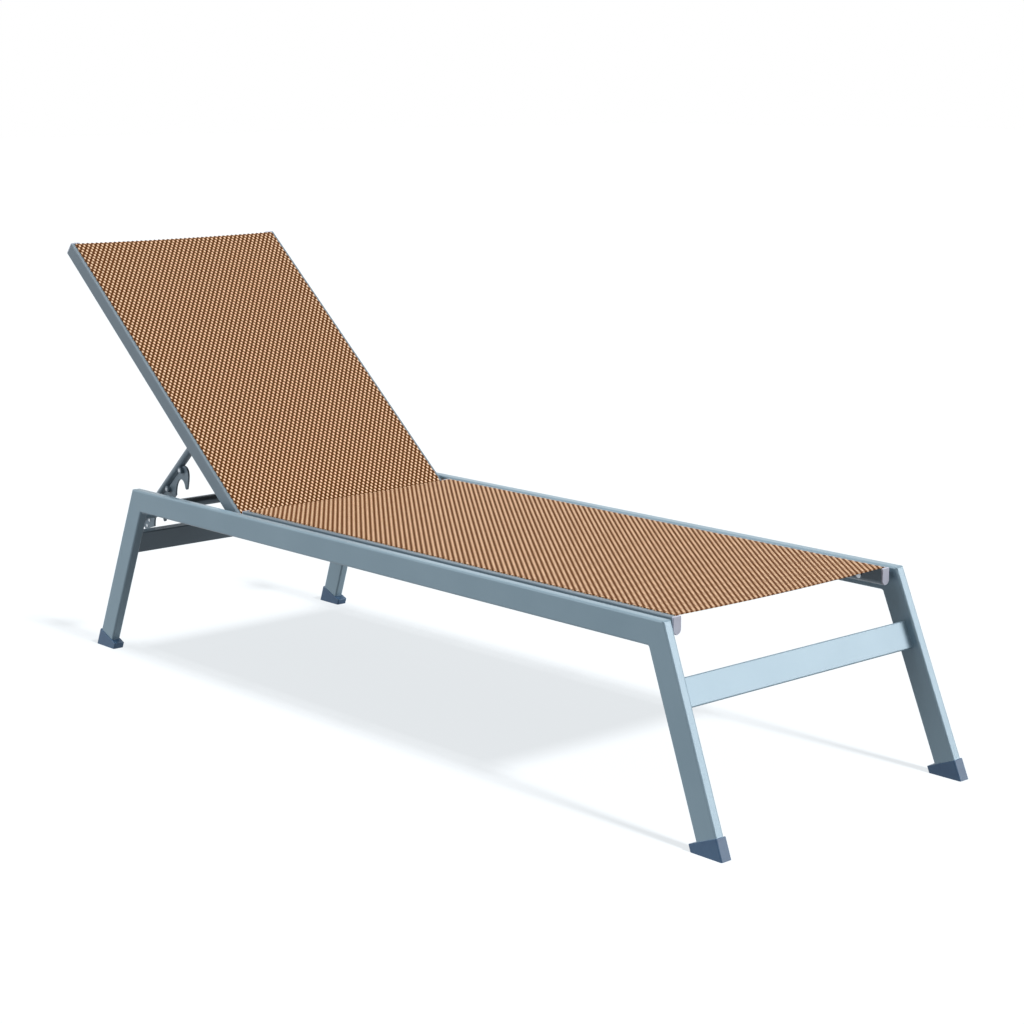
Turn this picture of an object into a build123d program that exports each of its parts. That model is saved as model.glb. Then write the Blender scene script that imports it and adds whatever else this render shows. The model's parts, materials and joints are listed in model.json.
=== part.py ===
from build123d import *
import os
from math import cos, radians, sin, tan

# Sun lounger with a sling seat and a sling back raised on a hooked bail.
# Millimetres. X runs across, Y from the foot end to the head end, Z up.
# Every pair is built on the +X side first and mirrored for the other side.

# Side frames
rail_length = 1568.0
seat_height = 360.0
frame_width = 600.0
side_tilt = 1.85
leg_lean = 21.8
tube_tall = 46.0
tube_wide = 20.0
tube_edge = 4.0
tube_wall = 2.0
outer_round = 6.0
inner_round = 10.0

# Foot caps, measured from the tube they sleeve
cap_length = 37.5
cap_front_wall = 2.5
cap_side_wall = 2.0
cap_toe = 16.0
cap_floor = 4.0
cap_edge = 3.0
cap_rim = 1.0

# Crossbars between the legs
bar_tall = 50.0
bar_thick = 15.0
bar_edge = 2.5
bar_wall = 2.0
bar_drop = 119.0
bar_setback = 15.0

# Sling material and the grooves that grip it
sling_thick = 1.2
sling_sag = 3.0
sling_bend_inset = 2.0
spline_diameter = 4.6
groove_bore = 6.6
groove_slot = 2.4
groove_depth = 6.0
groove_floor = 12.0

# Seat sling rails
seat_rail_gap = 10.5
seat_rail_wide = 18.5
seat_rail_tall = 31.0
seat_rail_edge = 2.0
seat_rail_wall = 2.0
seat_rail_front_setback = 9.0
seat_rail_hinge_gap = 39.2
seat_groove_inset = 11.0
seat_sling_gap = 1.0
seat_sling_head_gap = 9.0
end_cap_thick = 3.0
end_cap_edge = 0.8

# Seat spreaders
seat_spreader_wide = 30.0
seat_spreader_tall = 14.0
seat_spreader_drop = 24.0
seat_spreader_front_setback = 214.0
seat_spreader_head_setback = 71.0
spreader_edge = 4.0
spreader_wall = 2.0

# Screws that hang the seat rails on the side frames
screw_count = 4
screw_front_setback = 50.0
screw_head_setback = 26.0
screw_drop = 19.5
screw_diameter = 6.0
screw_head_diameter = 11.0
screw_head_thick = 3.0
screw_spot_face = 0.5
screw_reach = 7.0
screw_clearance = 0.2
spacer_diameter = 13.0

# Back
hinge_setback = 324.8
hinge_drop = 14.0
back_angle = 40.0
back_gap = 14.0
back_rail_wide = 22.0
back_rail_deep = 31.0
back_rail_edge = 2.5
back_rail_wall = 2.0
back_rail_below = 16.0
back_rail_above = 782.5
back_groove_inset = 7.5
back_sling_margin = 1.0
back_spreader_deep = 16.0
back_spreader_long = 25.0
back_spreader_drop = 4.0
back_spreader_spots = (60.0, 745.0)

# Hinge bolts
hinge_bolt_diameter = 8.0
hinge_head_diameter = 14.0
hinge_head_thick = 4.0
hinge_spacer_diameter = 18.0
hinge_reach = 8.0
turning_clearance = 0.05
sliding_gap = 0.2

# Bail under the back
bail_spot = 212.3
bail_slope = 42.0
bail_length = 371.0
bail_gap = 1.0
bail_diameter = 18.0
bail_wall = 1.6
bail_bolt_diameter = 8.0
bail_bolt_head = 13.0
bail_bolt_head_thick = 3.5
bail_bolt_reach = 8.0
cross_tube_diameter = 21.0
cross_tube_spot = 212.4
cross_tube_drop = 29.3

# Hook plates welded along the bail, lengths from the bail pivot, depths below its axis
plate_thick = 4.0
plate_start = 97.0
plate_end = 316.0
plate_end_depth = 22.0
plate_end_slant = 4.0
hook_pitch = 120.0
hook_horn = ((86.0, 15.0), (84.6, 20.5), (85.8, 27.5))
hook_back = ((91.2, 35.6), (100.8, 43.8), (111.5, 51.0), (116.2, 52.6), (118.6, 50.2))
hook_pocket = ((117.0, 44.8), (114.2, 37.2), (115.2, 29.0), (122.2, 22.2), (132.8, 21.2))
hook_shoulder = ((143.4, 24.8), (151.4, 29.8), (159.5, 37.0))
lug_diameter = 13.0
lug_spots = ((101.0, 13.5), (170.5, 13.5))
rivet_diameter = 7.0
rivet_head_thick = 0.8
rivet_spots = ((285.0, 17.0), (301.0, 20.0))

# Catch pins and stop pads on the side frames
pin_diameter = 10.0
pin_spot = 251.0
pin_depth = 26.6
pin_gap = 1.5
pad_long = 30.0
pad_tall = 18.0
pad_edge = 2.0
pad_spot = 280.8
pad_gap = 0.2
pad_under = 20.0

# Places that follow from the sizes above
frame_half_gap = frame_width / 2 - tube_wide
seat_rail_half_span = frame_half_gap - seat_rail_gap
back_half_span = frame_half_gap - back_gap
bail_half_span = back_half_span - back_rail_wide - bail_gap - bail_diameter / 2
hinge_y = rail_length / 2 - hinge_setback
hinge_z = seat_height - hinge_drop
seat_rail_front = seat_rail_front_setback - rail_length / 2
seat_rail_head = hinge_y - seat_rail_hinge_gap
first_screw = seat_rail_front + screw_front_setback
last_screw = seat_rail_head - screw_head_setback
screw_pitch = (last_screw - first_screw) / (screw_count - 1)
screw_spots = [first_screw + i * screw_pitch for i in range(screw_count)]


def tube_along_y(length, wide, tall, edge, wall):
    """Hollow tube of rounded rectangular section, centred on the Y axis."""
    outside = Plane.XZ * RectangleRounded(wide, tall, edge)
    inside = Plane.XZ * RectangleRounded(wide - 2 * wall, tall - 2 * wall, edge / 2)
    return extrude(outside - inside, length / 2, both=True)


def bar_along_x(length, wide, tall, edge):
    """Solid bar of rounded rectangular section, centred on the X axis."""
    return extrude(Plane.YZ * RectangleRounded(wide, tall, edge), length / 2, both=True)


def tube_along_x(length, wide, tall, edge, wall):
    """Hollow tube of rounded rectangular section, centred on the X axis."""
    bore = bar_along_x(length, wide - 2 * wall, tall - 2 * wall, edge / 2)
    return bar_along_x(length, wide, tall, edge) - bore


def rod_along_x(start, end, diameter):
    """Round rod on the X axis between two X values."""
    return Pos((start + end) / 2, 0, 0) * Rot(0, 90, 0) * Cylinder(diameter / 2, end - start)


def other_side(shape):
    """The same piece on the -X side."""
    return mirror(shape, about=Plane.YZ)


def both_sides(shape):
    """A piece and its mirror image as one group."""
    return [shape, other_side(shape)]


def turned(shape):
    """A piece turned half round, from one end of the lounger to the other."""
    return Rot(0, 0, 180) * shape


# Side frame geometry, drawn upright at X = 0 and then tilted into place
def frame_place():
    """Where an upright side frame stands: its feet splay outwards."""
    top = Location((frame_width / 2, 0, seat_height))
    return top * Rot(0, -side_tilt, 0) * Location((-tube_wide / 2, 0, -seat_height))


def frame_face(inset):
    """Plane parallel to the side frame's outer face, a distance inside it."""
    across = cos(radians(side_tilt))
    rise = sin(radians(side_tilt))
    spot = (frame_width / 2 - inset * across, 0, seat_height - inset * rise)
    return Plane(origin=spot, z_dir=(across, 0, rise))


def leg_frame():
    """Local frame at the rail corner: Y down the leg, Z out of its end face."""
    return Location((0, rail_length / 2, seat_height)) * Rot(leg_lean - 90, 0, 0)


def side_outline(inset, rounding):
    """Side frame seen from the side, moved in by an inset, with rounded corners."""
    lean = radians(leg_lean)
    top = seat_height - inset
    base = -seat_height
    half = rail_length / 2 - inset * (1 - sin(lean)) / cos(lean)
    spread = half + (top - base) * tan(lean)
    outline = make_face(Polyline((-half, top), (half, top), (spread, base), (-spread, base), close=True))
    if rounding:
        outline = fillet(outline.vertices().group_by(Axis.Y)[-1], rounding)
    return outline


def frame_envelope():
    """Solid that rounds the side frame's outer corners."""
    return extrude(Plane.YZ * side_outline(0, outer_round), tube_wide, both=True)


def weld_fillet():
    """Rounded web in the angle under the rear corner."""
    webs = side_outline(tube_tall, 0) - side_outline(tube_tall, inner_round)
    web = webs.faces().sort_by(Axis.X)[-1]
    return extrude(Plane.YZ * web, tube_wide / 2 - tube_edge, both=True)


def mitre_plane():
    """Plane through the rail corner that halves the angle to the leg."""
    lean = radians(leg_lean)
    return Plane(origin=(0, rail_length / 2, seat_height), z_dir=(0, cos(lean), sin(lean) - 1))


def leg_reach():
    """Length of the leg's end face from the corner to the floor."""
    return seat_height / cos(radians(leg_lean))


def side_rail():
    """Top rail of the +X side frame, mitred at both ends."""
    rail = tube_along_y(rail_length + tube_tall, tube_wide, tube_tall, tube_edge, tube_wall)
    rail = Pos(0, 0, seat_height - tube_tall / 2) * rail
    for _ in range(2):
        rail = turned(split(rail, mitre_plane(), keep=Keep.BOTTOM))
    return frame_place() * (rail & frame_envelope())


def upright_leg(wall):
    """Rear leg before tilting; without a wall it is the solid envelope."""
    length = leg_reach() + 2 * tube_tall
    if wall:
        leg = tube_along_y(length, tube_wide, tube_tall, tube_edge, wall)
    else:
        section = Plane.XZ * RectangleRounded(tube_wide, tube_tall, tube_edge)
        leg = extrude(section, length / 2, both=True)
    leg = leg_frame() * Pos(0, leg_reach() / 2, -tube_tall / 2) * leg
    leg = split(leg, mitre_plane(), keep=Keep.TOP)
    return split(leg, Plane.XY.offset(cap_floor), keep=Keep.TOP)


def leg():
    """Rear leg of the +X side frame."""
    return frame_place() * ((upright_leg(tube_wall) & frame_envelope()) + weld_fillet())


def foot_cap():
    """Sleeve on the rear leg with a toe under the lounger and a flat sole."""
    wide = tube_wide + 2 * cap_side_wall
    tall = cap_toe + tube_tall + cap_front_wall
    length = cap_length + tall
    block = fillet(Box(wide, length, tall).edges().filter_by(Axis.Y), cap_edge)
    rim = block.faces().sort_by(Axis.Y)[0].edges()
    block = fillet(rim, cap_rim)
    along = leg_reach() - cap_length + length / 2
    block = leg_frame() * Pos(0, along, cap_front_wall - tall / 2) * block
    cap = frame_place() * (block - upright_leg(0))
    return split(cap, Plane.XY, keep=Keep.TOP)


def crossbar():
    """Flat tube between the rear legs, parallel to them."""
    depth = bar_setback + bar_thick / 2
    lean = radians(leg_lean)
    along = (bar_drop - depth * sin(lean)) / cos(lean)
    bar = tube_along_x(frame_width, bar_tall, bar_thick, bar_edge, bar_wall)
    bar = leg_frame() * Pos(0, along, -depth) * bar
    for _ in range(2):
        bar = turned(split(bar, frame_face(tube_wide), keep=Keep.BOTTOM))
    return bar


# Seat: two rails, the sling between them and the spreaders below it
def seat_rail_outline(inset):
    """Section of the seat rail, its outer top corner at the origin."""
    middle = seat_rail_wide / 2
    shoulder = middle - seat_rail_tall
    far = inset - seat_rail_wide
    top = Polyline((far, shoulder), (far, -inset), (-inset, -inset), (-inset, shoulder))
    foot = ThreePointArc((-inset, shoulder), (-middle, inset - seat_rail_tall), (far, shoulder))
    outline = make_face(top + foot)
    return fillet(outline.vertices().group_by(Axis.Y)[-1], seat_rail_edge)


def groove(setback):
    """Keyhole groove in a rail's top face, a distance in from its outer face."""
    bore = Pos(-setback, -groove_depth) * Circle(groove_bore / 2)
    slot = Pos(-setback, -groove_depth / 2) * Rectangle(groove_slot, groove_depth)
    return bore + slot


def seat_rail_section():
    """Section of the seat rail with its groove and the hollow below it."""
    hollow = seat_rail_outline(seat_rail_wall)
    roof = Pos(-seat_rail_wide / 2, -groove_floor / 2) * Rectangle(2 * seat_rail_wide, groove_floor)
    return seat_rail_outline(0) - (hollow - roof) - groove(seat_groove_inset)


def along_seat(section, start, end):
    """Extrude a section in X and Z along Y between two Y values."""
    length = end - start
    place = Pos(seat_rail_half_span, (start + end) / 2, seat_height)
    return place * extrude(Plane.XZ * section, length / 2, both=True)


def screw_place(spot):
    """Axis of a seat rail screw."""
    return Pos(0, spot, seat_height - screw_drop)


def with_screw_holes(rail, start, end, diameter):
    """A rail with a round hole at every screw between two X values."""
    for spot in screw_spots:
        rail -= screw_place(spot) * rod_along_x(start, end, diameter)
    return rail


def screw_head_x():
    """Where the screw heads sit on the seat rail's inner face."""
    return seat_rail_half_span - seat_rail_wide + screw_spot_face


def seat_rail():
    """Seat rail with spot-faced screw holes."""
    rail = along_seat(seat_rail_section(), seat_rail_front, seat_rail_head)
    rail = with_screw_holes(rail, 0, frame_width / 2, screw_diameter + screw_clearance)
    return with_screw_holes(rail, 0, screw_head_x(), screw_head_diameter + 2 * screw_clearance)


def seat_rail_cap(start):
    """End cap of a seat rail, closing the hollow and the groove."""
    cap = along_seat(seat_rail_outline(0), start, start + end_cap_thick)
    outer = cap.faces().sort_by(Axis.Y)
    rim = outer[0] if start < 0 else outer[-1]
    return chamfer(rim.edges(), end_cap_edge)


def rail_screws():
    """Button head screws from the seat rail into the side frame."""
    seat = screw_head_x()
    head_start = seat - screw_head_thick
    tip = frame_half_gap + screw_reach
    screws = []
    for spot in screw_spots:
        head = fillet(
            rod_along_x(head_start, seat, screw_head_diameter).edges().sort_by(Axis.X)[0],
            screw_head_thick / 2,
        )
        screws += both_sides(screw_place(spot) * (head + rod_along_x(head_start, tip, screw_diameter)))
    return Compound(screws)


def rail_spacers():
    """Round spacers between the seat rails and the side frames."""
    spacers = []
    bore = screw_diameter + screw_clearance
    for spot in screw_spots:
        ring = rod_along_x(seat_rail_half_span, frame_width / 2, spacer_diameter)
        ring -= rod_along_x(0, frame_width / 2, bore)
        ring = split(screw_place(spot) * ring, frame_face(tube_wide), keep=Keep.BOTTOM)
        spacers += both_sides(ring)
    return Compound(spacers)


def sling_section(half_span, rail_wide, groove_inset):
    """Section of a sling: a slightly sagging sheet with a spline in each groove."""
    grip = half_span - groove_inset
    edge = grip + sling_thick / 2
    bend = half_span - rail_wide - sling_bend_inset
    under = ThreePointArc((-bend, 0), (0, -sling_sag), (bend, 0))
    over = ThreePointArc((bend, sling_thick), (0, sling_thick - sling_sag), (-bend, sling_thick))
    right = Polyline((bend, 0), (edge, 0), (edge, sling_thick), (bend, sling_thick))
    left = Polyline((-bend, sling_thick), (-edge, sling_thick), (-edge, 0), (-bend, 0))
    section = make_face(under + right + over + left)
    for x in (grip, -grip):
        web = Rectangle(sling_thick, groove_depth + sling_thick)
        section += Pos(x, (sling_thick - groove_depth) / 2) * web
        section += Pos(x, -groove_depth) * Circle(spline_diameter / 2)
    return section


def seat_sling():
    """Seat sling stretched between the seat rails."""
    start = seat_rail_front + seat_sling_gap
    end = seat_rail_head - seat_sling_head_gap
    section = sling_section(seat_rail_half_span, seat_rail_wide, seat_groove_inset)
    sheet = extrude(Plane.XZ * section, (end - start) / 2, both=True)
    return Pos(0, (start + end) / 2, seat_height) * sheet


def seat_spreader(spot):
    """Flat oval tube that holds the seat rails apart."""
    reach = 2 * seat_rail_half_span - seat_rail_wide
    tube = tube_along_x(reach, seat_spreader_wide, seat_spreader_tall, spreader_edge, spreader_wall)
    tube = Pos(0, spot, seat_height - seat_spreader_drop) * tube
    rail = along_seat(seat_rail_outline(0), seat_rail_front, seat_rail_head)
    return tube - rail - other_side(rail)


# Back: two rails on the hinge bolts, drawn with Y up the back and Z out of its front
def back_place():
    """Frame of the back: the hinge axis is its X axis."""
    return Pos(0, hinge_y, hinge_z) * Rot(back_angle, 0, 0)


def back_rail():
    """Back rail with its groove, its hinge hole and its bail bolt hole."""
    length = back_rail_below + back_rail_above - 2 * end_cap_thick
    tube = tube_along_y(length, back_rail_wide, back_rail_deep, back_rail_edge, back_rail_wall)
    chamber = Pos(0, back_rail_deep / 2 - groove_floor / 2) * Rectangle(back_rail_wide, groove_floor)
    fill = extrude(Plane.XZ * chamber, length / 2, both=True)
    section = RectangleRounded(back_rail_wide, back_rail_deep, back_rail_edge)
    solid = extrude(Plane.XZ * section, length / 2, both=True)
    slot = Pos(back_rail_wide / 2, back_rail_deep / 2) * groove(back_groove_inset)
    rail = tube + (solid & fill) - extrude(Plane.XZ * slot, length / 2, both=True)
    middle = (back_rail_above - back_rail_below) / 2
    rail = Pos(back_half_span - back_rail_wide / 2, middle, 0) * rail
    rail -= rod_along_x(0, frame_width / 2, hinge_bolt_diameter + 2 * turning_clearance)
    inner_half = back_half_span - back_rail_wide / 2
    rail -= Pos(0, bail_spot, 0) * rod_along_x(0, inner_half, bail_bolt_diameter)
    return back_place() * rail


def back_rail_cap(top):
    """End cap of a back rail."""
    cap = Box(back_rail_wide, end_cap_thick, back_rail_deep)
    cap = fillet(cap.edges().filter_by(Axis.Y), back_rail_edge)
    faces = cap.faces().sort_by(Axis.Y)
    rim = faces[-1] if top else faces[0]
    cap = chamfer(rim.edges(), end_cap_edge)
    if top:
        spot = back_rail_above - end_cap_thick / 2
    else:
        spot = end_cap_thick / 2 - back_rail_below
    return back_place() * Pos(back_half_span - back_rail_wide / 2, spot, 0) * cap


def back_sling():
    """Back sling stretched between the back rails."""
    start = end_cap_thick + back_sling_margin - back_rail_below
    end = back_rail_above - end_cap_thick - back_sling_margin
    section = sling_section(back_half_span, back_rail_wide, back_groove_inset)
    sheet = extrude(Plane.XZ * section, (end - start) / 2, both=True)
    return back_place() * Pos(0, (start + end) / 2, back_rail_deep / 2) * sheet


def back_spreader(spot):
    """Oval tube that holds the back rails apart."""
    reach = 2 * (back_half_span - back_rail_wide)
    tube = tube_along_x(reach, back_spreader_long, back_spreader_deep, spreader_edge, spreader_wall)
    return back_place() * Pos(0, spot, -back_spreader_drop) * tube


def hinge_axis():
    return Pos(0, hinge_y, hinge_z)


def hinge_bolt():
    """Bolt through the back rail into the side frame."""
    seat = back_half_span - back_rail_wide - sliding_gap
    tip = frame_half_gap + hinge_reach
    head = rod_along_x(seat - hinge_head_thick, seat, hinge_head_diameter)
    head = chamfer(head.edges().sort_by(Axis.X)[0], end_cap_edge)
    return hinge_axis() * (head + rod_along_x(seat, tip, hinge_bolt_diameter))


def hinge_spacer():
    """Spacer on the hinge bolt between the back rail and the side frame."""
    start = back_half_span + sliding_gap
    ring = rod_along_x(start, frame_width / 2, hinge_spacer_diameter)
    ring -= rod_along_x(0, frame_width / 2, hinge_bolt_diameter)
    return split(hinge_axis() * ring, frame_face(tube_wide), keep=Keep.BOTTOM)


# Bail: two struts, a foot tube and a cross tube between two hook plates
def bail_place():
    """Frame of the bail: Y down the struts, Z towards their upper side."""
    return back_place() * Pos(0, bail_spot, 0) * Rot(-back_angle - bail_slope, 0, 0)


def rod_along_y(start, end, diameter):
    """Round rod on the Y axis between two Y values."""
    return Pos(0, (start + end) / 2, 0) * Rot(90, 0, 0) * Cylinder(diameter / 2, end - start)


def rounded_end(spot, length):
    """Round-nosed envelope about a cross axis, open towards the middle."""
    nose = Pos(0, spot, 0) * rod_along_x(-bail_diameter, bail_diameter, bail_diameter)
    start = min(spot, spot + length)
    stretch = rod_along_y(start, start + abs(length), bail_diameter)
    return nose + stretch


def bail_strut():
    """Round strut with a nose about its bolt and one about the foot tube."""
    radius = bail_diameter / 2
    strut = rod_along_y(-radius, bail_length + radius, bail_diameter)
    strut &= rounded_end(0, bail_length / 2) + rounded_end(bail_length, -bail_length / 2)
    bore = rod_along_y(-radius, bail_length + radius, bail_diameter - 2 * bail_wall)
    bore &= Pos(0, bail_length / 2, 0) * Box(bail_diameter, bail_length - bail_diameter, bail_diameter)
    strut -= bore
    strut -= rod_along_x(-bail_diameter, bail_diameter, bail_bolt_diameter + 2 * turning_clearance)
    return bail_place() * Pos(bail_half_span, 0, 0) * strut


def strut_envelope():
    """Solid strut for seating the pieces welded to it."""
    strut = rod_along_y(0, bail_length, bail_diameter)
    return bail_place() * Pos(bail_half_span, 0, 0) * strut


def bail_bolt():
    """Bolt that carries the bail on the back rail."""
    seat = bail_half_span - bail_diameter / 2 - sliding_gap
    tip = back_half_span - back_rail_wide + bail_bolt_reach
    head = rod_along_x(seat - bail_bolt_head_thick, seat, bail_bolt_head)
    head = chamfer(head.edges().sort_by(Axis.X)[0], end_cap_edge)
    return back_place() * Pos(0, bail_spot, 0) * (head + rod_along_x(seat, tip, bail_bolt_diameter))


def tube_between(spot, drop, diameter, reach):
    """Round cross tube in the bail's frame."""
    tube = rod_along_x(-reach, reach, diameter) - rod_along_x(-reach, reach, diameter - 2 * bail_wall)
    return bail_place() * Pos(0, spot, -drop) * tube


def bail_foot_tube():
    """Bottom tube of the bail, coped onto the struts."""
    tube = tube_between(bail_length, 0, bail_diameter, bail_half_span - bail_wall)
    strut = bail_place() * Pos(bail_half_span, 0, 0) * rod_along_y(0, 2 * bail_length, bail_diameter)
    return tube - strut - other_side(strut)


def bail_cross_tube():
    """Tube between the hook plates."""
    reach = bail_half_span - plate_thick / 2
    return tube_between(cross_tube_spot, cross_tube_drop, cross_tube_diameter, reach)


def hook_curve(points, shift):
    """Smooth lower edge of a hook, moved along the bail."""
    return Spline(*[(spot + shift, -depth) for spot, depth in points])


def hook_outline():
    """Plate with two hooks, its straight upper edge inside the strut."""
    hook = hook_back + hook_pocket + hook_shoulder
    first = hook_curve(hook_horn + hook, 0)
    second = hook_curve(hook, hook_pitch)
    between = Line(first @ 1, second @ 0)
    corner = (plate_end - plate_end_slant, -plate_end_depth)
    top = Polyline(second @ 1, corner, (plate_end, 0), (plate_start, 0), first @ 0)
    return make_face(first + between + second + top)


def hook_plate():
    """Flat plate with two hooks and two lugs, fixed along the strut."""
    plate = extrude(Plane.YZ * hook_outline(), plate_thick / 2, both=True)
    for spot, depth in lug_spots:
        plate += Pos(0, spot, -depth) * rod_along_x(0, bail_diameter / 2, lug_diameter)
    return bail_place() * Pos(bail_half_span, 0, 0) * plate - strut_envelope()


def hook_rivets():
    """Low rivet heads on the lugs and on the outer faces of the hook plates."""
    rivets = []
    for spots, start in ((lug_spots, bail_diameter / 2), (rivet_spots, plate_thick / 2)):
        for spot, depth in spots:
            head = rod_along_x(0, rivet_head_thick, rivet_diameter)
            head = bail_place() * Pos(bail_half_span + start, spot, -depth) * head
            rivets += both_sides(head)
    return Compound(rivets)


# Catch pins that the hooks rest on, and pads that carry the back laid flat
def catch_pin():
    """Pin on the rear leg's inner face, ending just outside the hook plate."""
    start = bail_half_span + plate_thick / 2 + pin_gap
    pin = rod_along_x(start, frame_width, pin_diameter)
    pin = chamfer(pin.edges().sort_by(Axis.X)[0], end_cap_edge)
    centre = (bail_place() * Pos(0, pin_spot, -pin_depth)).position
    pin = Pos(0, centre.Y, centre.Z) * pin
    return split(pin, frame_face(tube_wide), keep=Keep.BOTTOM)


def stop_pad():
    """Pad on the side rail's inner face, just under the back rail laid flat."""
    top = hinge_z - back_rail_deep / 2 - pad_gap
    wide = frame_width / 2 - (back_half_span - pad_under)
    pad = Box(wide, pad_long, pad_tall)
    pad = fillet(pad.edges().filter_by(Axis.X), pad_edge)
    pad = Pos(frame_width / 2 - wide / 2, hinge_y + pad_spot, top - pad_tall / 2) * pad
    return split(pad, frame_face(tube_wide), keep=Keep.BOTTOM)


def drilled_side_rail():
    """Side rail with threaded holes for the seat screws and the hinge bolt."""
    rail = with_screw_holes(side_rail(), 0, frame_width / 2 - tube_wide / 2, screw_diameter)
    return rail - hinge_axis() * rod_along_x(0, frame_width / 2 - tube_wide / 2, hinge_bolt_diameter)


def pair(name, shape, pieces):
    """Name a +X piece and its mirror image."""
    pieces[name + "_right"] = shape
    pieces[name + "_left"] = other_side(shape)


def four(name, shape, pieces):
    """Name a rear +X piece, its mirror image and both of them at the foot end."""
    pair(name + "_rear", shape, pieces)
    pieces[name + "_front_left"] = turned(shape)
    pieces[name + "_front_right"] = turned(other_side(shape))


def build_pieces():
    pieces = {}
    pair("side_rail", drilled_side_rail(), pieces)
    four("leg", leg(), pieces)
    four("foot_cap", foot_cap(), pieces)
    pieces["crossbar_rear"] = crossbar()
    pieces["crossbar_front"] = turned(crossbar())
    pair("seat_rail", seat_rail(), pieces)
    pair("seat_rail_cap_front", seat_rail_cap(seat_rail_front - end_cap_thick), pieces)
    pair("seat_rail_cap_head", seat_rail_cap(seat_rail_head), pieces)
    pieces["rail_screws"] = rail_screws()
    pieces["rail_spacers"] = rail_spacers()
    pieces["seat_sling"] = seat_sling()
    pieces["seat_spreader_front"] = seat_spreader(seat_rail_front + seat_spreader_front_setback)
    pieces["seat_spreader_head"] = seat_spreader(seat_rail_head - seat_spreader_head_setback)
    pair("hinge_bolt", hinge_bolt(), pieces)
    pair("hinge_spacer", hinge_spacer(), pieces)
    pair("catch_pin", catch_pin(), pieces)
    pair("stop_pad", stop_pad(), pieces)
    pair("back_rail", back_rail(), pieces)
    pair("back_cap_top", back_rail_cap(True), pieces)
    pair("back_cap_bottom", back_rail_cap(False), pieces)
    pieces["back_sling"] = back_sling()
    pieces["back_spreader_lower"] = back_spreader(back_spreader_spots[0])
    pieces["back_spreader_upper"] = back_spreader(back_spreader_spots[1])
    pair("bail_bolt", bail_bolt(), pieces)
    pair("bail_strut", bail_strut(), pieces)
    pair("hook_plate", hook_plate(), pieces)
    pieces["hook_rivets"] = hook_rivets()
    pieces["bail_foot_tube"] = bail_foot_tube()
    pieces["bail_cross_tube"] = bail_cross_tube()
    return pieces


# Export with the middle of the lounger's footprint at the origin
pieces = build_pieces()
boxes = [shape.bounding_box() for shape in pieces.values()]
middle = (min(box.min.Y for box in boxes) + max(box.max.Y for box in boxes)) / 2
floor = min(box.min.Z for box in boxes)
os.makedirs("parts", exist_ok=True)
for name, shape in pieces.items():
    export_step(Pos(0, -middle, -floor) * shape, f"parts/{name}.step")
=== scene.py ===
import json
from math import cos, pi, radians, sin

import bmesh
import bpy
from mathutils import Matrix, Vector


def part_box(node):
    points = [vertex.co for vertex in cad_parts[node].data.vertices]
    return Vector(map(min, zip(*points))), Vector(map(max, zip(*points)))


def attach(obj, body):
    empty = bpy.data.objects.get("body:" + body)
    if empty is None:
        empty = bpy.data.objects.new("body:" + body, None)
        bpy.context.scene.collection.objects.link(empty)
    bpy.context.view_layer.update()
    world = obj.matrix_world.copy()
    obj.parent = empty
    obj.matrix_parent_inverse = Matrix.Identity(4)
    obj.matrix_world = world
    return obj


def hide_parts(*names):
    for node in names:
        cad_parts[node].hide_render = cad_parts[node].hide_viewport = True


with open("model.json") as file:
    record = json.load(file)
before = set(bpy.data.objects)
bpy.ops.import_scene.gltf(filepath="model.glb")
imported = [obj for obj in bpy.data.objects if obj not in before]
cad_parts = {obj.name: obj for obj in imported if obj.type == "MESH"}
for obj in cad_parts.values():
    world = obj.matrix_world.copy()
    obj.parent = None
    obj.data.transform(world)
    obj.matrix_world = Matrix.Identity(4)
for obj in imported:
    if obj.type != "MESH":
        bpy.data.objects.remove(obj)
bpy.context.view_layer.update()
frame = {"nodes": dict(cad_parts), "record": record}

# Camera, solved from the photograph
cam_azimuth = radians(-41.394)
cam_elevation = radians(11.101)
cam_roll = radians(-0.318)
cam_place = Vector((-2.71780, -3.23704, 1.20172))
cam_lens = 77.51
cam_sensor = 36.0
cam_reach = 200

# Sling cloth: repeat of the weave, height of its strands, wave of its edge, thickness and sag
weave_across = 0.0114
weave_along = 0.0150
weave_relief = 0.0010
edge_wave = 0.0016
cloth_thick = 0.0012
cloth_sag = 0.0030
cloth_grip = 0.0150

# Samples in one repeat of the weave, from the cloth's middle to its side, and along each sling
samples = 4
half_steps = 91
seat_rows = 316
back_rows = 210

# The back's angle, where its sling starts up the rails, and how high it lies above the hinge
back_angle = radians(40)
back_start = -0.0105
back_lift = 0.0155

# Where a noise starts and ends its drift from the dark shade to the light one
shade_start = 0.3
shade_end = 0.7

# Colours of the weave from its dark strands to its pale ones
weave_colours = (
    (0.00, (0.130, 0.046, 0.014)),
    (0.48, (0.085, 0.028, 0.008)),
    (0.60, (0.400, 0.185, 0.070)),
    (0.74, (0.900, 0.610, 0.390)),
    (1.00, (0.980, 0.740, 0.540)),
)

# Floor: its half width, colour, bounce, the white it shows to the eye and how much of it
floor_reach = 40
floor_colour = (0.95, 0.975, 1.0)
floor_bounce = (0.06, 0.06, 0.065)
floor_glow = (0.932, 0.971, 1.0)
floor_glow_share = 0.81

# Lamps: direction in which the light travels, strength and width in degrees
room_light = 0.16
object_suns = {
    "front_right": ((-0.649, 0.662, -0.373), 2.0, 34.0),
    "overhead": ((0.0, -0.15, -0.99), 1.65, 40.0),
    "rear_left": ((0.80, -0.42, -0.43), 1.2, 40.0),
}
floor_sun = ((0.0, 0.78, -0.625), 6.4, 6.5)

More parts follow.
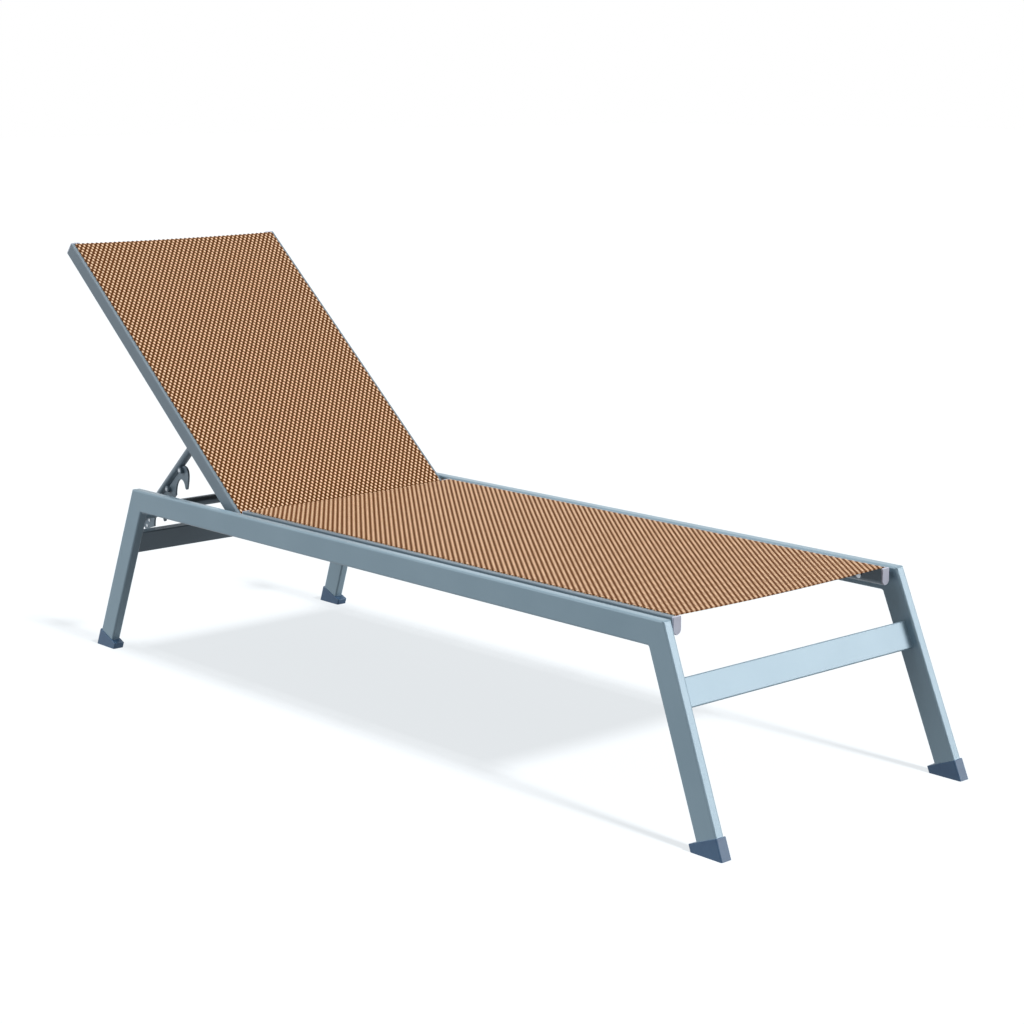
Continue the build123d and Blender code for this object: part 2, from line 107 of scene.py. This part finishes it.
# Nodes that move, nodes that get a darker copy of the paint as painted shade, and nodes that throw
# no shadow on the floor
bodies = frame["record"]["behaviour"]["bodies"]
moving = [name for body in ("back", "bail") for name in bodies[body]]
painted_shade_nodes = moving + ["seat_rail_left", "seat_rail_right", "crossbar_rear"]
unshadowed = moving + ["crossbar_front", "crossbar_rear", "leg_rear_left", "leg_rear_right"]


def new_material(name):
    """An empty node material and its node tree."""
    material = bpy.data.materials.new(name)
    material.use_nodes = True
    material.node_tree.nodes.clear()
    return material, material.node_tree


def add(tree, kind, **settings):
    """A node with its settings."""
    node = tree.nodes.new(kind)
    for key, value in settings.items():
        setattr(node, key, value)
    return node


def math_node(tree, operation, *values):
    """A Math node fed by sockets or numbers."""
    node = add(tree, "ShaderNodeMath", operation=operation)
    for socket, value in zip(node.inputs, values):
        if isinstance(value, bpy.types.NodeSocket):
            tree.links.new(value, socket)
        else:
            socket.default_value = value
    return node.outputs[0]


def ramp(tree, factor, stops):
    """A colour ramp over (position, colour) stops."""
    node = add(tree, "ShaderNodeValToRGB")
    elements = node.color_ramp.elements
    while len(elements) > 1:
        elements.remove(elements[-1])
    for i, (position, colour) in enumerate(stops):
        element = elements[0] if i == 0 else elements.new(position)
        element.position = position
        element.color = (*colour, 1.0)
    tree.links.new(factor, node.inputs["Fac"])
    return node.outputs["Color"]


def two_shades(tree, factor, dark, light):
    """Colour that drifts between two shades."""
    return ramp(tree, factor, [(shade_start, dark), (shade_end, light)])


def noise(tree, vector, scale, detail=2.0):
    """Noise texture on object coordinates."""
    node = add(tree, "ShaderNodeTexNoise")
    node.inputs["Scale"].default_value = scale
    node.inputs["Detail"].default_value = detail
    tree.links.new(vector, node.inputs["Vector"])
    return node.outputs["Fac"]


def object_coordinates(tree):
    """Position on the piece, in metres."""
    return add(tree, "ShaderNodeTexCoord").outputs["Object"]


def finish_surface(tree, colour, roughness, bump, strength, distance, **fixed):
    """Principled surface with a linked colour and bump; fixed inputs keep their numbers."""
    shader = add(tree, "ShaderNodeBsdfPrincipled")
    for name, value in fixed.items():
        shader.inputs[name.replace("_", " ")].default_value = value
    tree.links.new(colour, shader.inputs["Base Color"])
    if isinstance(roughness, float):
        shader.inputs["Roughness"].default_value = roughness
    else:
        tree.links.new(roughness, shader.inputs["Roughness"])
    relief = add(tree, "ShaderNodeBump")
    relief.inputs["Strength"].default_value = strength
    relief.inputs["Distance"].default_value = distance
    tree.links.new(bump, relief.inputs["Height"])
    tree.links.new(relief.outputs["Normal"], shader.inputs["Normal"])
    output = add(tree, "ShaderNodeOutputMaterial")
    tree.links.new(shader.outputs["BSDF"], output.inputs["Surface"])


def painted_metal(name, dark, light):
    """Satin powder coat: fine orange peel, slight mottle."""
    material, tree = new_material(name)
    place = object_coordinates(tree)
    colour = two_shades(tree, noise(tree, place, scale=9.0, detail=3.0), dark, light)
    grain = noise(tree, place, scale=900.0)
    roughness = math_node(tree, "MULTIPLY_ADD", grain, 0.10, 0.30)
    finish_surface(
        tree, colour, roughness, grain, strength=0.06, distance=0.0004,
        Metallic=0.1, Specular_IOR_Level=0.45,
    )
    return material


def plastic(name, dark, light, roughness):
    """Moulded plastic with a fine texture."""
    material, tree = new_material(name)
    place = object_coordinates(tree)
    colour = two_shades(tree, noise(tree, place, scale=60.0, detail=4.0), dark, light)
    grain = noise(tree, place, scale=1400.0)
    finish_surface(tree, colour, roughness, grain, strength=0.10, distance=0.0003)
    return material


def steel(name, dark, light):
    """Plain stainless fastener."""
    material, tree = new_material(name)
    place = object_coordinates(tree)
    colour = two_shades(tree, noise(tree, place, scale=300.0), dark, light)
    grain = noise(tree, place, scale=2500.0)
    finish_surface(tree, colour, 0.32, grain, strength=0.05, distance=0.0002, Metallic=0.9)
    return material


def strand_wave(tree, position, repeat):
    """Cosine of a position, one wave in each repeat of the weave."""
    return math_node(tree, "COSINE", math_node(tree, "MULTIPLY", position, 2 * pi / repeat))


def woven_cloth(name):
    """Two-colour weave of coated strands on the cloth's own X and Y."""
    material, tree = new_material(name)
    place = object_coordinates(tree)
    split = add(tree, "ShaderNodeSeparateXYZ")
    tree.links.new(place, split.inputs[0])
    across = strand_wave(tree, split.outputs["X"], weave_across)
    along = strand_wave(tree, split.outputs["Y"], weave_along)
    checker = math_node(tree, "MULTIPLY", across, along)
    colour = ramp(tree, math_node(tree, "MULTIPLY_ADD", checker, 0.5, 0.5), weave_colours)
    fibre = noise(tree, place, scale=1200.0, detail=3.0)
    finish_surface(
        tree, colour, 0.62, fibre, strength=0.25, distance=0.0003,
        Specular_IOR_Level=0.04,
    )
    return material


powder = painted_metal("powder_coat", (0.262, 0.382, 0.465), (0.286, 0.410, 0.494))
# A darker copy of the same powder coat: painted shade for parts that lie in shade
shaded_powder = painted_metal("powder_coat_painted_shade", (0.170, 0.230, 0.280), (0.186, 0.250, 0.302))
cloth = woven_cloth("woven_sling")

finishes = {
    "frame_metal": powder,
    "foot_plastic": plastic(
        "foot_cap_plastic", (0.048, 0.112, 0.215), (0.060, 0.134, 0.242), 0.45),
    "end_plastic": plastic("end_cap_plastic", (0.60, 0.62, 0.74), (0.67, 0.69, 0.80), 0.5),
    "pad_plastic": plastic("pad_plastic", (0.020, 0.022, 0.026), (0.035, 0.037, 0.042), 0.55),
    "hardware": steel("stainless", (0.44, 0.47, 0.50), (0.55, 0.58, 0.61)),
    "sling_fabric": cloth,
}


def dress_solids():
    """Give every CAD node its finish by the record's material slot; some metal gets a darker copy
    of the paint as painted shade.
    """
    for part in frame["record"]["subparts"]:
        node = frame["nodes"][part["node"]]
        finish = finishes[part["material_slot"]]
        # Painted shade: these nodes get the darker copy of the same paint
        if finish is powder and part["node"] in painted_shade_nodes:
            finish = shaded_powder
        node.data.materials.clear()
        node.data.materials.append(finish)


def place_object(name, data):
    """A new object in the scene."""
    piece = bpy.data.objects.new(name, data)
    bpy.context.scene.collection.objects.link(piece)
    return piece


def wave(position, repeat):
    """Cosine of a position, one wave in each repeat."""
    return cos(2 * pi * position / repeat)


def sling_height(x, y, half, top):
    """Height of the cloth: it sags between its rails and its pale strands stand proud."""
    sag = cloth_sag * max(0.0, 1 - (x / (half - cloth_grip)) ** 2)
    if not top:
        return -sag
    strand = wave(x, weave_across) * wave(y, weave_along)
    return cloth_thick - sag + weave_relief * max(0.0, strand)


def sling_grid(bm, rows, step, top):
    """Vertices of one face of a sling, every step-th sample of the weave."""
    half = half_steps * weave_across / samples
    grid = []
    for j in range(0, rows + 1, step):
        y = j * weave_along / samples
        line = []
        for i in range(0, 2 * half_steps + 1, step):
            x = (i - half_steps) * weave_across / samples
            side = (i == 2 * half_steps) - (i == 0)
            end = (j == rows) - (j == 0)
            out_x = edge_wave * wave(y, weave_along) * side
            out_y = edge_wave * wave(x, weave_across) * end
            line.append(bm.verts.new((x + out_x, y + out_y, sling_height(x, y, half, top))))
        grid.append(line)
    return grid


def grid_faces(bm, grid):
    """Smooth quads over a grid of vertices."""
    for low, high in zip(grid, grid[1:]):
        for i in range(len(low) - 1):
            bm.faces.new((low[i], low[i + 1], high[i + 1], high[i])).smooth = True


def border_faces(bm, upper, lower):
    """Faces round the edge, each from two steps of the woven side to one of the underside."""
    borders = [(upper[0], lower[0]), (upper[-1], lower[-1])]
    for i in (0, -1):
        borders.append(([line[i] for line in upper], [line[i] for line in lower]))
    for fine, coarse in borders:
        for i in range(len(coarse) - 1):
            woven = (fine[2 * i], fine[2 * i + 1], fine[2 * i + 2])
            bm.faces.new((*woven, coarse[i + 1], coarse[i]))


def sling_mesh(name, rows):
    """Closed mesh of a sling in its own X and Y, its woven side up."""
    mesh = bpy.data.meshes.new(name)
    bm = bmesh.new()
    upper = sling_grid(bm, rows, 1, True)
    lower = sling_grid(bm, rows, 2, False)
    grid_faces(bm, upper)
    grid_faces(bm, lower)
    border_faces(bm, upper, lower)
    bmesh.ops.recalc_face_normals(bm, faces=bm.faces)
    bm.to_mesh(mesh)
    bm.free()
    mesh.materials.append(cloth)
    return mesh


def sling(name, node, body, rows, place):
    """A sling sheet that stands for its solid, held along both sides."""
    piece = place_object(name, sling_mesh(name, rows))
    piece.matrix_world = place
    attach(piece, body)
    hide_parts(node)
    return piece


def seat_place():
    """The seat sling's frame: its foot-end edge on the seat rails."""
    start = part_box("seat_sling")[0].y
    return Matrix.Translation((0, start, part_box("seat_rail_left")[1].z))


def hinge_point():
    """Middle of the hinge axis."""
    low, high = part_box("hinge_bolt_left")
    return Vector((0, (low.y + high.y) / 2, (low.z + high.z) / 2))


def back_place():
    """The back sling's frame: its lower edge on the back rails, Y up the back."""
    turn = Matrix.Rotation(back_angle, 4, "X")
    return Matrix.Translation(hinge_point()) @ turn @ Matrix.Translation((0, back_start, back_lift))


def coloured(tree, kind, colour):
    """A shader node's output, with its colour set."""
    node = add(tree, kind)
    node.inputs["Color"].default_value = (*colour, 1.0)
    return node.outputs[0]


def mixed(tree, factor, first, second):
    """Mix of two shaders by a number or a socket."""
    node = add(tree, "ShaderNodeMixShader")
    if isinstance(factor, float):
        node.inputs[0].default_value = factor
    else:
        tree.links.new(factor, node.inputs[0])
    tree.links.new(first, node.inputs[1])
    tree.links.new(second, node.inputs[2])
    return node.outputs[0]


def seen_by_eye(tree):
    """One for the rays that show the background, zero for those that light the object."""
    rays = add(tree, "ShaderNodeLightPath")
    eye = math_node(tree, "MAXIMUM", rays.outputs["Is Camera Ray"], rays.outputs["Is Glossy Ray"])
    return math_node(tree, "MAXIMUM", eye, rays.outputs["Is Transmission Ray"])


def floor_material():
    """White to the eye, with the shadow kept, and a dim bounce on the object."""
    material, tree = new_material("floor_white")
    shade = coloured(tree, "ShaderNodeBsdfDiffuse", floor_colour)
    glow = coloured(tree, "ShaderNodeEmission", floor_glow)
    bounce = coloured(tree, "ShaderNodeBsdfDiffuse", floor_bounce)
    seen = mixed(tree, floor_glow_share, shade, glow)
    output = add(tree, "ShaderNodeOutputMaterial")
    surface = mixed(tree, seen_by_eye(tree), bounce, seen)
    tree.links.new(surface, output.inputs["Surface"])
    return material


def floor():
    """Pale floor that keeps the shadow and meets the white background."""
    mesh = bpy.data.meshes.new("floor")
    bm = bmesh.new()
    corners = ((-1, -1), (1, -1), (1, 1), (-1, 1))
    bm.faces.new([bm.verts.new((x * floor_reach, y * floor_reach, 0)) for x, y in corners])
    bm.to_mesh(mesh)
    bm.free()
    mesh.materials.append(floor_material())
    piece = place_object("floor", mesh)
    return piece


def background():
    """Soft grey room light that the camera sees as white."""
    world = bpy.data.worlds.new("studio")
    world.use_nodes = True
    bpy.context.scene.world = world
    tree = world.node_tree
    tree.nodes.clear()
    strength = math_node(tree, "MULTIPLY_ADD", seen_by_eye(tree), 1 - room_light, room_light)
    glow = add(tree, "ShaderNodeBackground")
    glow.inputs["Color"].default_value = (1, 1, 1, 1)
    tree.links.new(strength, glow.inputs["Strength"])
    output = add(tree, "ShaderNodeOutputWorld")
    tree.links.new(glow.outputs[0], output.inputs["Surface"])


def sun(name, direction, strength, width):
    """Soft parallel light travelling along a direction."""
    lamp = bpy.data.lights.new(name, "SUN")
    lamp.energy = strength
    lamp.angle = radians(width)
    piece = place_object(name, lamp)
    piece.rotation_mode = "QUATERNION"
    piece.rotation_quaternion = Vector(direction).to_track_quat("-Z", "Y")
    return piece


def linked(name, pieces, state):
    """A light-linking collection in which the pieces are all taken in or left out."""
    group = bpy.data.collections.new(name)
    for piece in pieces:
        group.objects.link(piece)
    for link in group.collection_objects:
        link.light_linking.link_state = state
    return group


def lights(ground, back_cloth):
    """Three suns on the object alone, and one on the floor alone that throws its shadow."""
    lamps = [sun(name, *setting) for name, setting in object_suns.items()]
    off_floor = linked("off_floor", [ground], "EXCLUDE")
    for lamp in lamps:
        lamp.light_linking.receiver_collection = off_floor
    shadow = sun("floor_shadow", *floor_sun)
    shadow.light_linking.receiver_collection = linked("floor_only", [ground], "INCLUDE")
    raised = [back_cloth] + [frame["nodes"][name] for name in unshadowed]
    shadow.light_linking.blocker_collection = linked("no_floor_shadow", raised, "EXCLUDE")


def camera():
    """The photograph's camera."""
    az, el = cam_azimuth, cam_elevation
    back = Vector((sin(az) * cos(el), -cos(az) * cos(el), sin(el)))
    right = (-back).cross(Vector((0, 0, 1))).normalized()
    up = right.cross(-back)
    right_rolled = cos(cam_roll) * right + sin(cam_roll) * up
    up_rolled = cos(cam_roll) * up - sin(cam_roll) * right
    data = bpy.data.cameras.new("camera")
    data.lens = cam_lens
    data.sensor_width = cam_sensor
    data.clip_end = cam_reach
    piece = place_object("camera", data)
    turn = Matrix((right_rolled, up_rolled, back)).transposed()
    piece.matrix_world = Matrix.Translation(cam_place) @ turn.to_4x4()
    bpy.context.scene.camera = piece


dress_solids()
sling("seat_sling_cloth", "seat_sling", "frame", seat_rows, seat_place())
back_cloth = sling("back_sling_cloth", "back_sling", "back", back_rows, back_place())
ground = floor()
background()
lights(ground, back_cloth)
camera()
bpy.context.scene.view_settings.view_transform = "Standard"
